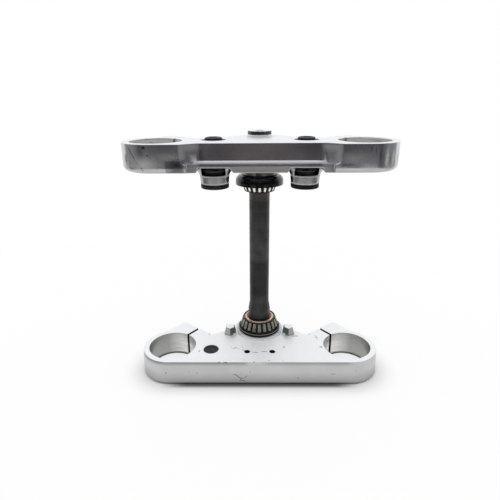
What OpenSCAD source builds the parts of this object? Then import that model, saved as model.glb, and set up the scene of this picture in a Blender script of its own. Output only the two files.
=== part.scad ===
// Motorcycle triple clamp: two clamps on a hollow steering stem, with the
// two steering head bearings, their covers, the adjuster nut, the rubber
// bushes of the handlebar risers and the pinch bolts.
// The stem axis is the Z axis, z = 0 is the underside of the lower clamp,
// and the fork bores lie ahead of the stem, towards -Y.

/* [Forks] */
// Distance between the axes of the two fork bores
fork_spacing = 194; // [188:1:204]
// Distance of the fork bores ahead of the stem axis
fork_offset = 35.5; // [34.5:0.5:38]
// Fork bore of the upper clamp
upper_bore_d = 49; // [46:0.5:50]
// Fork bore of the lower clamp
lower_bore_d = 51; // [48:0.5:52]
// Distance between the undersides of the two clamps
clamp_distance = 224; // [218:1:236]

/* [Lower clamp] */
// Thickness of the lower clamp
lower_h = 27.5; // [26:0.5:32]
// Wall around the fork bore at the top face
lower_wall = 6.1; // [5.5:0.1:8]
// How much the outline grows from the top face down to the underside
lower_draft = 1.6; // [0.4:0.2:2.4]
// Rounding of the outer edge of the underside
lower_edge_r = 3.5; // [1.5:0.5:4]
// Radius of the body around the stem
lower_hub_r = 29; // [28.5:0.5:31]
// Height of the round seat below the bearing
seat_h = 2; // [1:0.5:3]
// Radius of the round seat below the bearing
seat_r = 27; // [25.5:0.5:28]
// Height of the two steering stops
stop_h = 10; // [8:1:12]
// Width of a steering stop at its foot
stop_w = 14; // [12:1:15]
// Distance from the stem axis to the middle of a steering stop, sideways
stop_x = 33.8; // [33:0.2:36]
// Distance between the two small front holes
bracket_spacing = 27.4; // [24:0.2:34]
// Diameter of the two small front holes
bracket_hole_d = 6.3; // [5:0.1:7]
// Distance of the small front holes ahead of the stem axis
bracket_y = 47.7; // [46:0.1:50]
// Diameter of the round hole that a rubber plug closes
hole_d = 16.6; // [12:0.2:18]
// Distance of the plugged hole from the stem axis, sideways
hole_x = 53.4; // [51:0.2:55]
// Distance of the plugged hole ahead of the stem axis
hole_y = 43.2; // [41:0.2:46]

/* [Upper clamp] */
// Thickness of the upper clamp
upper_h = 26; // [24:0.5:30]
// Wall around the fork bore
upper_wall = 7; // [6.5:0.1:8]
// Rounding of the outer edge of the underside
upper_edge_r = 6; // [3:0.5:6.5]
// Thickness of the top plate between the walls
plate_t = 8; // [6:0.5:10]
// Thickness of the front wall at its recessed middle
front_wall_t = 5.4; // [4:0.2:6]
// Thickness of the rear wall
rear_wall_t = 5; // [4:0.5:6]
// Radius of the body around the stem
upper_hub_r = 24; // [21:0.5:25]
// Depth of the recess in the front face
recess_depth = 9.6; // [8:0.2:11]
// Half width of the recess at the front face
recess_half_w = 71.2; // [69:0.2:74]
// Half width of the recess at its floor
recess_floor_half_w = 56.7; // [54:0.2:58]
// Rounding of the lower corners of the recess
recess_corner_r = 7; // [4:0.5:9]
// Height of the lip below the recess
lip_h = 7.7; // [6.5:0.1:9]
// How far the lip stands back from the front face
lip_back = 6; // [4:0.2:7]
// Height of the bevel above the lip
bevel_h = 2.9; // [2:0.1:4]
// Height of the notches in the lip above the handlebar bosses
notch_h = 4.4; // [2:0.2:5]

/* [Pinch bolts] */
// Width of the slits that let the clamps close
slit_w = 2.8; // [2:0.1:3]
// Angle of the slits to the line through the fork bores
slit_angle = 51.5; // [49:0.5:54]
// How far the slits stand off the axis of the fork bore
slit_shift = 2.4; // [1.5:0.1:3.2]
// Thread diameter of the lower pinch bolts
lower_bolt_d = 10; // [8:1:10]
// Thread diameter of the upper pinch bolts
upper_bolt_d = 8; // [6:1:8]
// Wall between a fork bore and the hole of its pinch bolt
pinch_wall = 2.3; // [2:0.1:3]
// Wall around the head of a pinch bolt
ear_wall = 2; // [1.5:0.1:2.5]
// Distance from the fork axis to the seat of the bolt head, along the bolt
bolt_seat = 17; // [15:0.5:18]

/* [Stem] */
// Diameter of the stem at the upper bearing, nut and clamp
stem_top_d = 22; // [22:0.1:22.6]
// How much thinner the stem is between the bearings
stem_waist = 0.2; // [0.2:0.1:1]
// Diameter of the stem in the lower clamp
stem_foot_d = 27; // [26:0.2:29]
// Bore of the hollow stem
stem_bore_d = 14.5; // [13:0.1:15]
// Height at which the wider lower part of the stem ends
stem_wide_z = 56; // [52:1:60]
// Length of the cone from the wider lower part to the thin part
stem_cone_h = 10; // [6:1:14]
// Thread diameter of the bolt on top of the stem
head_bolt_d = 16; // [15.4:0.1:17]
// Depth of the thread for that bolt
stem_thread_l = 26; // [20:1:32]
// Diameter of the head of that bolt
head_d = 24; // [22:0.5:26]
// Height of the head of that bolt
head_h = 4.6; // [4:0.1:7]
// Diameter of the washer below that head
washer_d = 25.6; // [25:0.2:28]
// Thickness of that washer
washer_t = 1.2; // [0.8:0.1:2]

/* [Bearings] */
// Bore of the lower bearing
lower_bearing_bore = 25; // [24:0.5:26]
// Width of the lower inner race
lower_race_w = 15; // [14.6:0.1:15.6]
// Number of rollers in the lower bearing
lower_roller_count = 21; // [16:1:21]
// Distance from the lower bearing's bore to the middle of its rollers
lower_ring_gap = 6; // [5.8:0.1:6.4]
// Height of the middle of the lower rollers above the foot of their race
lower_ring_z = 8.6; // [8.4:0.1:8.8]
// Length of the lower rollers
lower_roller_l = 9; // [8:0.1:9.2]
// Radius of a lower roller at its middle
lower_roller_r = 2.3; // [2.1:0.05:2.35]
// Width of the upper inner race
upper_race_w = 15.6; // [15.2:0.1:16.4]
// Number of rollers in the upper bearing
upper_roller_count = 18; // [12:1:18]
// Distance from the upper bearing's bore to the middle of its rollers
upper_ring_gap = 4.8; // [4.7:0.1:5.2]
// Distance of the middle of the upper rollers below the head of their race
upper_ring_z = 9.8; // [9.4:0.1:10]
// Length of the upper rollers
upper_roller_l = 9; // [8:0.1:9.2]
// Radius of an upper roller at its middle
upper_roller_r = 1.95; // [1.8:0.05:2.1]
// Lean of the rollers towards the stem axis
roller_tilt = 18.4; // [16:0.2:20]
// Thickness of the sheet that the cages are made of
cage_t = 0.9; // [0.6:0.1:1]
// Radius of the lower dust seal
seal_r = 24.1; // [23.6:0.1:25]
// Height of the lower dust seal
seal_h = 3.7; // [3:0.1:4]
// Thickness of the seal's base, below the race
seal_base_t = 0.9; // [0.8:0.1:1.2]

/* [Cover and adjuster] */
// Radius of the upper dust cover at its rim
cover_r = 25; // [24:0.2:27]
// Height of the upper dust cover
cover_h = 10.1; // [9.5:0.1:12]
// Rounding of the shoulder of the dust cover
cover_round = 7; // [5:0.2:8]
// Wall of the dust cover
cover_t = 1.4; // [1:0.1:1.8]
// Diameter of the slotted adjuster nut
adjuster_d = 37.7; // [35:0.1:40]
// Height of the adjuster nut
adjuster_h = 11.5; // [9:0.5:14]
// Width of the slots in the adjuster nut
adjuster_slot_w = 4; // [3:0.2:6]
// Depth of the slots in the adjuster nut
adjuster_slot_d = 3.2; // [2:0.2:4]

/* [Handlebar mounts] */
// Distance between the two handlebar mounts
bar_spacing = 88; // [85:0.5:92]
// Distance of the handlebar mounts ahead of the stem axis
bar_y = 27.6; // [26:0.2:29]
// Bore of the bosses, which holds the rubber bushes
bush_d = 24; // [22:0.2:24.6]
// Wall of a boss at the rim of its cup
boss_wall = 2.5; // [2.2:0.1:3]
// How much narrower a boss is at its lower end than at the rim of its cup
boss_taper = 1.6; // [0.6:0.1:2]
// How much wider a boss is at the underside of the clamp than at its cup
boss_flare = 8; // [5:0.5:10]
// How far the bosses reach below the clamp
boss_drop = 15.4; // [12:0.2:18]
// Height of the closed cup at the end of a boss
cup_h = 8.7; // [7:0.1:10]
// Bore of the rubber bushes
stud_d = 10; // [8:0.5:12]
// Diameter of the flange of the lower bush
flange_d = 27.5; // [26:0.1:30]
// Thickness of the flange of the lower bush
flange_t = 4.4; // [3:0.1:6]
// Diameter of the head of the lower bush
bush_head_d = 22.8; // [20:0.1:23.4]
// Height of the head of the lower bush
bush_head_h = 3.8; // [2:0.1:6]
// Height of the upper bush
bush_h = 13.5; // [11:0.5:16]
// Diameter of the dome of the upper bush
dome_d = 16.6; // [15:0.1:18]
// How far the dome stands above the clamp
dome_h = 2.2; // [1.4:0.1:3]

/* [Fits] */
// Gap between the head of a pinch bolt and its pocket, all round
head_gap = 0.4; // [0.2:0.1:0.6]
// Gap around the shank of a pinch bolt, before the slit
shank_gap = 0.25; // [0.15:0.05:0.4]
// Gap between the upper clamp and the stem, all round
stem_gap = 0.05; // [0.03:0.01:0.1]
// Gap between the rollers and the races, and around the head bolt's thread
run_gap = 0.05; // [0.03:0.01:0.1]
// Gap between a roller and the window of its cage, each side
window_gap = 0.12; // [0.08:0.02:0.2]
// How deep rubber parts lie below the face around them
sink = 0.5; // [0.2:0.1:1]

/* [Hidden] */
$fn = 96;
// How far cutting forms reach past a face, and how deep joined forms overlap
over = 1;
blend = 0.4;

fork_x = fork_spacing / 2;
upper_z = clamp_distance;
top_z = upper_z + upper_h;
front_y = fork_offset + upper_bore_d / 2 + upper_wall;
lower_r = lower_bore_d / 2 + lower_wall;
upper_r = upper_bore_d / 2 + upper_wall;
wall_y = front_y - recess_depth - front_wall_t;

// Rear edge of the arms, from the ear over the valley to the hub. Both
// points are measured inwards from the fork's axis.
arm_root_in = 25;
arm_root_x = fork_x - arm_root_in;
arm_root_y = 10;
valley_in = 42;
valley_x = fork_x - valley_in;
valley_y = 14;
shoulder_run = 12;
shoulder_y = 5;
hub_angle = 50;

// Hollow of the upper clamp: half its middle rib, and the wall at its ends
rib_half_w = 3;
pocket_end_wall = 7.5;

// Steering stop: its place, its point, and the width and depth of its top
// as shares of its foot
stop_y = 10.5;
stop_half_l = 3.5;
stop_point = 7;
stop_top = [0.66, 0.95];

// Bosses of the handlebar mounts
boss_r = bush_d / 2 + boss_wall;
boss_root_r = boss_r + boss_flare / 2;

// Ends of the lip, past the straight stretch of the recess's lower edge
lip_spare = 1.7;
lip_half_w = recess_half_w - recess_corner_r + lip_spare;

// Notches in the lip, from the middle of a boss to each side
notch_in_run = 18.5;
notch_out_run = 12;
notch_in = bar_spacing / 2 - notch_in_run;
notch_out = bar_spacing / 2 + notch_out_run;
notch_slope = 2;

// The bearing stacks, from the clamps towards each other
stem_d = stem_top_d - stem_waist;
lower_mid = [lower_bearing_bore / 2 + lower_ring_gap, lower_ring_z];
upper_mid = [stem_top_d / 2 + upper_ring_gap, upper_ring_z];
race_z = lower_h + seat_h + seal_base_t;
nut_z = upper_z - adjuster_h;
cover_z = nut_z - cover_h;
upper_race_z = nut_z - cover_t;

// Pinch bolts: head and socket sizes follow the thread
function head_r(d) = (1.5 * d + 1) / 2;
function ear_r(d) = head_r(d) + head_gap + ear_wall;
function pinch_u(bore, d) = bore / 2 + pinch_wall + shank_gap + d / 2;
hex_share = 0.92;
bolt_reach = 14;
thread_spare = 2;

// Bearings: taper of the rollers, ribs of the inner race, and how far the
// cage reaches past the rollers
roller_slope = tan(1.6);
rib_h = 1.8;
rib_rise = 0.2;
small_rib_h = 1.1;
small_rib_z = 0.55;
cage_near = 1;
cage_end = 1.1;
race_chamfer = 0.4;

// Small forms of the turned parts
stem_end_gap = 1;
socket_depth = 3.6;
head_socket_share = 0.69;
stem_chamfer = 1;
stem_relief = 3.5;
stem_step_h = 0.5;
washer_play = 0.3;
adjuster_turn = 5;
seal_play = 0.1;
seal_lip = 1.3;

// Rubber plug: the rim around its shallow dish, and its hollow underside
plug_lip_d = 2.6;
plug_lip_h = 0.8;
plug_hollow_h = 19;
plug_wall = 2.4;

// Where the tangent from point p touches a circle of radius r at the origin
function tangent_angle(p, r) = atan2(p[1], p[0]) - acos(min(1, r / norm(p)));
function polar(r, a) = [r * cos(a), r * sin(a)];

module on_side(s) {
    mirror([s < 0 ? 1 : 0, 0, 0]) children();
}

// Frame of a fork: X points along the slit, Y along the pinch bolt, away
// from the bolt's head
module at_fork() {
    translate([fork_x, -fork_offset, 0]) rotate([0, 0, 180 - slit_angle]) children();
}

// Half section of a clamp's rim: r at the top face h, wider by grow at the
// underside, and rounded there. It reaches past the top face.
module rim_section(r, h, grow, edge) {
    foot = r + grow * (1 - edge / h);
    polygon([[0, edge], [foot, edge], [r - grow * over / h, h + over], [0, h + over]]);
    square([foot - edge, edge + blend]);
    translate([foot - edge, edge]) intersection() {
        circle(r = edge);
        translate([0, -edge]) square([edge, edge]);
    }
}

// Rounded ends around both forks, and the straight front between them
module rim(r, h, grow, edge) {
    for (s = [-1, 1])
        on_side(s) translate([fork_x, -fork_offset, 0])
            rotate_extrude() rim_section(r, h, grow, edge);
    translate([-fork_x, -fork_offset, 0]) mirror([0, 1, 0]) rotate([90, 0, 90])
        linear_extrude(fork_spacing) rim_section(r, h, grow, edge);
}

// Everything above the height z, to trim a clamp to its top face
module above(z) {
    translate([-fork_spacing, -fork_spacing, z])
        cube([2 * fork_spacing, 2 * fork_spacing, 2 * over]);
}

// Outline of the ear that the pinch bolt closes, in the fork's frame. Its
// flat end is level with the bolt's head.
module ear_outline(r, bore, d) {
    far = pinch_u(bore, d) + ear_r(d);
    near_corner = [pinch_u(bore, d) - ear_r(d), -bolt_seat - d];
    chamfer = ear_wall;
    polygon([[0, 0], polar(r - blend, tangent_angle(near_corner, r - blend)), near_corner,
        [far - chamfer, -bolt_seat - d], [far, chamfer - bolt_seat - d],
        [far, bolt_reach + thread_spare], [0, bolt_reach + thread_spare]]);
}

// Outline of the arms between the forks and the stem
module arm_outline(hub_r) {
    for (s = [-1, 1])
        on_side(s) polygon([[0, -fork_offset - over], [fork_x - over, -fork_offset - over],
            [arm_root_x, -arm_root_y], [valley_x, -valley_y],
            [hub_r + shoulder_run, -shoulder_y], polar(hub_r - blend, hub_angle), [0, 0]]);
}

// Hole, pocket and slit of a pinch bolt, in the fork's frame
module pinch_cut(bore, d, h) {
    u = pinch_u(bore, d);
    translate([0, -slit_shift - slit_w / 2, -over])
        cube([u + 2 * ear_r(d), slit_w, h + 2 * over]);
    translate([u, 0, h / 2]) rotate([90, 0, 0]) {
        translate([0, 0, slit_shift]) cylinder(d = d + 2 * shank_gap, h = bolt_seat);
        translate([0, 0, bolt_seat]) cylinder(r = head_r(d) + head_gap, h = 3 * bolt_seat);
        translate([0, 0, -bolt_reach - thread_spare])
            cylinder(d = d, h = bolt_reach + thread_spare + slit_shift);
    }
}

// Socket head bolt along Z, with the seat of its head at z = 0
module socket_bolt(d, reach) {
    chamfer = d / 14;
    difference() {
        rotate_extrude() polygon([[0, -reach], [d / 2 - chamfer, -reach],
            [d / 2, chamfer - reach], [d / 2, 0], [head_r(d), 0], [head_r(d), d - chamfer],
            [head_r(d) - chamfer, d], [0, d]]);
        translate([0, 0, d / 2]) cylinder(d = hex_share * d, h = d, $fn = 6);
    }
}

module pinch_bolt(bore, d, h) {
    at_fork() translate([pinch_u(bore, d), -bolt_seat, h / 2]) rotate([90, 0, 0])
        socket_bolt(d, bolt_seat + bolt_reach);
}

// Steering stop: a drafted block with a pointed front
module steering_stop() {
    half = stop_w / 2;
    translate([stop_x, -stop_y, lower_h - blend])
        linear_extrude(stop_h + blend, scale = stop_top, slices = 1, segments = 0) polygon([
            [-half, -stop_half_l], [0, -stop_point], [half, -stop_half_l],
            [half, stop_half_l], [-half, stop_half_l]]);
}

module lower_clamp() {
    color("gainsboro") difference() {
        union() {
            difference() {
                union() {
                    rim(lower_r, lower_h, lower_draft, lower_edge_r);
                    linear_extrude(lower_h + over) {
                        arm_outline(lower_hub_r);
                        circle(r = lower_hub_r);
                    }
                    for (s = [-1, 1])
                        on_side(s) at_fork() linear_extrude(lower_h + over)
                            ear_outline(lower_r, lower_bore_d, lower_bolt_d);
                }
                above(lower_h);
            }
            cylinder(r = seat_r, h = lower_h + seat_h);
            for (s = [-1, 1])
                on_side(s) steering_stop();
        }
        translate([0, 0, -over]) cylinder(d = stem_foot_d, h = lower_h + seat_h + 2 * over);
        for (s = [-1, 1])
            on_side(s) {
                translate([fork_x, -fork_offset, -over])
                    cylinder(d = lower_bore_d, h = lower_h + 2 * over);
                at_fork() pinch_cut(lower_bore_d, lower_bolt_d, lower_h);
                translate([bracket_spacing / 2, -bracket_y, -over])
                    cylinder(d = bracket_hole_d, h = lower_h + 2 * over);
            }
        translate([-hole_x, -hole_y, -over])
            cylinder(d = hole_d, h = lower_h + 2 * over);
    }
}

// The wide recess in the front face, with slanted ends and rounded corners
module front_recess() {
    far = recess_half_w + (recess_half_w - recess_floor_half_w) / recess_depth;
    floor_y = recess_depth - front_y;
    tall = upper_h - lip_h + over;
    intersection() {
        linear_extrude(top_z + over) polygon([[-far, -front_y - over],
            [-recess_floor_half_w, floor_y], [recess_floor_half_w, floor_y],
            [far, -front_y - over]]);
        translate([0, 0, upper_z + lip_h]) rotate([90, 0, 0]) linear_extrude(2 * front_y) {
            translate([-far, recess_corner_r]) square([2 * far, tall]);
            translate([recess_corner_r - recess_half_w, 0])
                square([2 * (recess_half_w - recess_corner_r), tall]);
            for (s = [-1, 1])
                translate([s * (recess_half_w - recess_corner_r), recess_corner_r])
                    circle(r = recess_corner_r);
        }
    }
}

// Space in front of the lip, and the notches above the handlebar bosses
module lip_cut() {
    translate([-lip_half_w, -front_y - over, upper_z - over])
        cube([2 * lip_half_w, lip_back + over, lip_h + over + blend]);
    for (s = [-1, 1])
        on_side(s) translate([0, over - wall_y, upper_z - over])
            rotate([90, 0, 0]) linear_extrude(front_y - wall_y + 2 * over) polygon([
                [notch_in - notch_slope, 0], [notch_in + notch_slope, notch_h + over],
                [notch_out, notch_h + over], [notch_out + notch_slope, 0]]);
}

// Bevel between the lip and the floor of the recess
module lip_bevel() {
    run = recess_depth - lip_back;
    slant = (recess_half_w - recess_floor_half_w) / recess_depth;
    half_w = recess_floor_half_w + slant * run;
    translate([-half_w, lip_back - front_y, upper_z + lip_h - blend]) rotate([90, 0, 90])
        linear_extrude(2 * half_w) polygon([[0, 0], [run + blend, 0],
            [run + blend, bevel_h + blend], [run, bevel_h + blend], [0, blend]]);
}

// Hollow below the top plate, on one side of the stem. The hub and the
// boss stand in it.
module underside_pocket() {
    end_x = fork_x - upper_r - pocket_end_wall;
    translate([0, 0, upper_z - over]) linear_extrude(upper_h - plate_t + over) polygon([
        [rib_half_w, -wall_y], [end_x, -wall_y], [end_x, -valley_y - rear_wall_t],
        [valley_x, -valley_y - rear_wall_t],
        [upper_hub_r + shoulder_run, -shoulder_y - rear_wall_t],
        [rib_half_w, upper_hub_r - rear_wall_t]]);
}

module bar_place() {
    translate([bar_spacing / 2, -bar_y, 0]) children();
}

// Boss of a handlebar mount, before it is bored: a tapered cup, and a flare
// that spreads above the cup's rim
module bar_boss() {
    bar_place() translate([0, 0, upper_z - boss_drop]) rotate_extrude() polygon([
        [0, 0], [boss_r - boss_taper / 2, 0], [boss_r, cup_h], [boss_root_r, boss_drop],
        [boss_root_r, boss_drop + upper_h - over], [0, boss_drop + upper_h - over]]);
}

// Bore of a boss, and the window in its front that shows the bush's head
module bar_cut() {
    window_z = upper_z - boss_drop + cup_h;
    bar_place() {
        translate([0, 0, upper_z - boss_drop - over])
            cylinder(d = bush_d, h = boss_drop + upper_h + 2 * over);
        translate([-bush_head_d / 2, -2 * boss_root_r, window_z])
            cube([bush_head_d, 2 * boss_root_r, upper_z + notch_h - window_z]);
    }
}

module upper_clamp() {
    color("silver") difference() {
        union() {
            difference() {
                translate([0, 0, upper_z]) {
                    rim(upper_r, upper_h, 0, upper_edge_r);
                    linear_extrude(upper_h + over) arm_outline(upper_hub_r);
                    for (s = [-1, 1])
                        on_side(s) at_fork() linear_extrude(upper_h + over)
                            ear_outline(upper_r, upper_bore_d, upper_bolt_d);
                }
                above(top_z);
                front_recess();
                lip_cut();
                for (s = [-1, 1])
                    on_side(s) underside_pocket();
            }
            lip_bevel();
            translate([0, 0, upper_z]) cylinder(r = upper_hub_r, h = upper_h);
            for (s = [-1, 1])
                on_side(s) bar_boss();
        }
        translate([0, 0, upper_z - over])
            cylinder(r = stem_top_d / 2 + stem_gap, h = upper_h + 2 * over);
        for (s = [-1, 1])
            on_side(s) {
                translate([fork_x, -fork_offset, upper_z - over])
                    cylinder(d = upper_bore_d, h = upper_h + 2 * over);
                translate([0, 0, upper_z]) at_fork()
                    pinch_cut(upper_bore_d, upper_bolt_d, upper_h);
                bar_cut();
            }
    }
}

module steering_stem() {
    foot_z = lower_h + seat_h;
    end_z = top_z - stem_end_gap;
    step_z = upper_race_z - upper_race_w - stem_relief;
    c = stem_chamfer;
    color("dimgray") rotate_extrude() difference() {
        polygon([[0, 0], [stem_foot_d / 2 - c, 0], [stem_foot_d / 2, c],
            [stem_foot_d / 2, foot_z], [lower_bearing_bore / 2, foot_z],
            [lower_bearing_bore / 2, stem_wide_z], [stem_d / 2, stem_wide_z + stem_cone_h],
            [stem_d / 2, step_z - stem_step_h], [stem_top_d / 2, step_z],
            [stem_top_d / 2, end_z - c], [stem_top_d / 2 - c, end_z], [0, end_z]]);
        translate([0, -over]) square([stem_bore_d / 2, end_z]);
        translate([0, end_z - stem_thread_l]) square([head_bolt_d / 2 + run_gap, end_z]);
    }
}

module stem_washer() {
    color("silver") translate([0, 0, top_z]) difference() {
        cylinder(d = washer_d, h = washer_t);
        translate([0, 0, -over])
            cylinder(d = head_bolt_d + 2 * washer_play, h = washer_t + 2 * over);
    }
}

module stem_head_bolt() {
    chamfer = 0.8;
    reach = stem_thread_l - thread_spare;
    color("silver") translate([0, 0, top_z + washer_t]) difference() {
        rotate_extrude() polygon([[0, -reach], [head_bolt_d / 2 - 1, -reach],
            [head_bolt_d / 2, 1 - reach], [head_bolt_d / 2, 0], [head_d / 2, 0],
            [head_d / 2, head_h - chamfer], [head_d / 2 - chamfer, head_h], [0, head_h]]);
        translate([0, 0, head_h - socket_depth])
            cylinder(d = head_socket_share * head_bolt_d, h = head_h, $fn = 6);
    }
}

module adjuster_nut() {
    chamfer = 0.7;
    r = adjuster_d / 2;
    color("gray") translate([0, 0, nut_z]) difference() {
        rotate_extrude() polygon([[stem_top_d / 2, 0], [r - chamfer, 0], [r, chamfer],
            [r, adjuster_h - chamfer], [r - chamfer, adjuster_h], [stem_top_d / 2, adjuster_h]]);
        for (k = [0:3])
            rotate([0, 0, 90 * k - adjuster_turn]) translate([-adjuster_slot_w / 2, -r - over, -over])
                cube([adjuster_slot_w, adjuster_slot_d + over, adjuster_h + 2 * over]);
    }
}

// Half section of the dust cover's outer form, drawn from its rim
module cover_form(r, h, round_r) {
    square([r, h - round_r]);
    square([r - round_r, h]);
    translate([r - round_r, h - round_r]) intersection() {
        circle(r = round_r);
        square(round_r);
    }
}

module upper_dust_cover() {
    color("black") translate([0, 0, cover_z]) rotate_extrude() difference() {
        cover_form(cover_r, cover_h, cover_round);
        translate([0, -over])
            cover_form(cover_r - cover_t, cover_h - cover_t + over, cover_round - cover_t);
        translate([0, -over]) square([stem_top_d / 2, cover_h + 2 * over]);
    }
}

// Tapered roller bearing without its outer race. The large end is at z = 0
// and the small end is up. mid is the middle of a roller, as radius and
// height, and l, r and count are the rollers' length, radius and number.
function along(s) = [-sin(roller_tilt), cos(roller_tilt)] * s;
function outwards(s) = [cos(roller_tilt), sin(roller_tilt)] * s;
function roller_end_r(r, s) = r - roller_slope * s;
function race_point(mid, r, s) = mid + along(s) - outwards(roller_end_r(r, s) + run_gap);

module inner_race(bore, w, mid, l, r) {
    big = race_point(mid, r, -l / 2);
    small = race_point(mid, r, l / 2);
    rib = big[0] + rib_h;
    top_rib = small + [small_rib_h, small_rib_z];
    rotate_extrude() polygon([[bore / 2, 0], [rib, 0], [rib, big[1] - rib_rise],
        [big[0], big[1] - rib_rise], big, small, [small[0], small[1] + rib_rise],
        [top_rib[0] - rib_rise, top_rib[1]], [top_rib[0], top_rib[1] + rib_rise],
        [top_rib[0], w - race_chamfer], [top_rib[0] - race_chamfer, w], [bore / 2, w]]);
}

// Places of the rollers, one of them straight ahead, and upright along each
module at_rollers(mid, count) {
    for (k = [0:count - 1])
        rotate([0, 0, 360 / count * k - 90]) translate([mid[0], 0, mid[1]])
            rotate([0, -roller_tilt, 0]) children();
}

module rollers(mid, l, r, count) {
    at_rollers(mid, count) translate([0, 0, -l / 2])
        cylinder(r1 = roller_end_r(r, -l / 2), r2 = roller_end_r(r, l / 2), h = l, $fn = 24);
}

module roller_cage(mid, l, r, count) {
    near = cage_near;
    half = l / 2 + cage_end;
    slot_w = 2 * sqrt(pow(roller_end_r(r, -l / 2), 2) - near * near) + 2 * window_gap;
    difference() {
        rotate_extrude() polygon([mid + along(-half) + outwards(near),
            mid + along(-half) + outwards(near + cage_t),
            mid + along(half) + outwards(near + cage_t), mid + along(half) + outwards(near)]);
        at_rollers(mid, count) translate([0, -slot_w / 2, -l / 2 - window_gap])
            cube([2 * r, slot_w, l + 2 * window_gap]);
    }
}

module at_lower_bearing() {
    translate([0, 0, race_z]) children();
}

// The upper bearing stands on its head: its large end touches the cover
module at_upper_bearing() {
    translate([0, 0, upper_race_z]) mirror([0, 0, 1]) children();
}

module upper_inner_race() {
    color("tan") at_upper_bearing()
        inner_race(stem_top_d, upper_race_w, upper_mid, upper_roller_l, upper_roller_r);
}

module upper_roller_cage() {
    color("black") at_upper_bearing()
        roller_cage(upper_mid, upper_roller_l, upper_roller_r, upper_roller_count);
}

module upper_rollers() {
    color("white") at_upper_bearing()
        rollers(upper_mid, upper_roller_l, upper_roller_r, upper_roller_count);
}

module lower_inner_race() {
    color("tan") at_lower_bearing()
        inner_race(lower_bearing_bore, lower_race_w, lower_mid, lower_roller_l, lower_roller_r);
}

module lower_roller_cage() {
    color("black") at_lower_bearing()
        roller_cage(lower_mid, lower_roller_l, lower_roller_r, lower_roller_count);
}

module lower_rollers() {
    color("white") at_lower_bearing()
        rollers(lower_mid, lower_roller_l, lower_roller_r, lower_roller_count);
}

module lower_dust_seal() {
    bore_r = lower_bearing_bore / 2 + seal_play;
    edge = 0.5;
    color("black") translate([0, 0, lower_h + seat_h]) rotate_extrude() polygon([
        [bore_r, 0], [seal_r - edge, 0], [seal_r, edge], [seal_r, seal_h - edge],
        [seal_r - edge, seal_h], [seal_r - seal_lip, seal_h],
        [seal_r - seal_lip - edge, seal_base_t], [bore_r, seal_base_t]]);
}

// Upper rubber bush, seated in the top plate, with a dome around its bore
module bar_bush_upper() {
    face = top_z - sink;
    edge = 1.5;
    color("black") bar_place() rotate_extrude() difference() {
        union() {
            translate([0, top_z - bush_h]) square([bush_d / 2, bush_h - sink]);
            translate([0, face - blend]) square([dome_d / 2, dome_h + sink + blend - edge]);
            translate([0, face]) square([dome_d / 2 - edge, dome_h + sink]);
            translate([dome_d / 2 - edge, top_z + dome_h - edge]) circle(r = edge);
        }
        translate([0, top_z - bush_h - over]) square([stud_d / 2, 2 * bush_h]);
    }
}

// Lower rubber bush: a flange below the boss, a body in its cup and a head
// that shows in the window
module bar_bush_lower() {
    tip_z = upper_z - boss_drop;
    edge = 0.6;
    color("black") bar_place() rotate_extrude() polygon([
        [stud_d / 2, tip_z - flange_t], [flange_d / 2 - edge, tip_z - flange_t],
        [flange_d / 2, tip_z - flange_t + edge], [flange_d / 2, tip_z - edge],
        [flange_d / 2 - edge, tip_z], [bush_d / 2, tip_z], [bush_d / 2, tip_z + cup_h - edge],
        [bush_head_d / 2, tip_z + cup_h], [bush_head_d / 2, tip_z + cup_h + bush_head_h - edge],
        [bush_head_d / 2 - edge, tip_z + cup_h + bush_head_h],
        [stud_d / 2, tip_z + cup_h + bush_head_h]]);
}

// Rubber plug: closed at the top with a shallow dish, and hollow from below
module hole_plug() {
    r = hole_d / 2;
    tall = lower_h - 2 * sink;
    color("black") translate([-hole_x, -hole_y, sink]) rotate_extrude() polygon([
        [0, plug_hollow_h], [r - plug_wall, plug_hollow_h], [r - plug_wall, 0], [r, 0],
        [r, tall], [r - plug_lip_d / 2, tall], [r - plug_lip_d, tall - plug_lip_h],
        [0, tall - plug_lip_h]]);
}

module lower_pinch_bolt(s) {
    color("silver") on_side(s) pinch_bolt(lower_bore_d, lower_bolt_d, lower_h);
}

module upper_pinch_bolt(s) {
    color("silver") on_side(s) translate([0, 0, upper_z])
        pinch_bolt(upper_bore_d, upper_bolt_d, upper_h);
}

lower_clamp();
upper_clamp();
steering_stem();
stem_head_bolt();
stem_washer();
adjuster_nut();
upper_dust_cover();
upper_inner_race();
upper_roller_cage();
upper_rollers();
lower_inner_race();
lower_roller_cage();
lower_rollers();
lower_dust_seal();
on_side(-1) bar_bush_upper();  // bar_bush_upper_left
on_side(1) bar_bush_upper();  // bar_bush_upper_right
on_side(-1) bar_bush_lower();  // bar_bush_lower_left
on_side(1) bar_bush_lower();  // bar_bush_lower_right
lower_pinch_bolt(-1);  // lower_pinch_bolt_left
lower_pinch_bolt(1);  // lower_pinch_bolt_right
upper_pinch_bolt(-1);  // upper_pinch_bolt_left
upper_pinch_bolt(1);  // upper_pinch_bolt_right
hole_plug();
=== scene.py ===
import math

import bmesh
import bpy
from mathutils import Matrix, Vector


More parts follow.
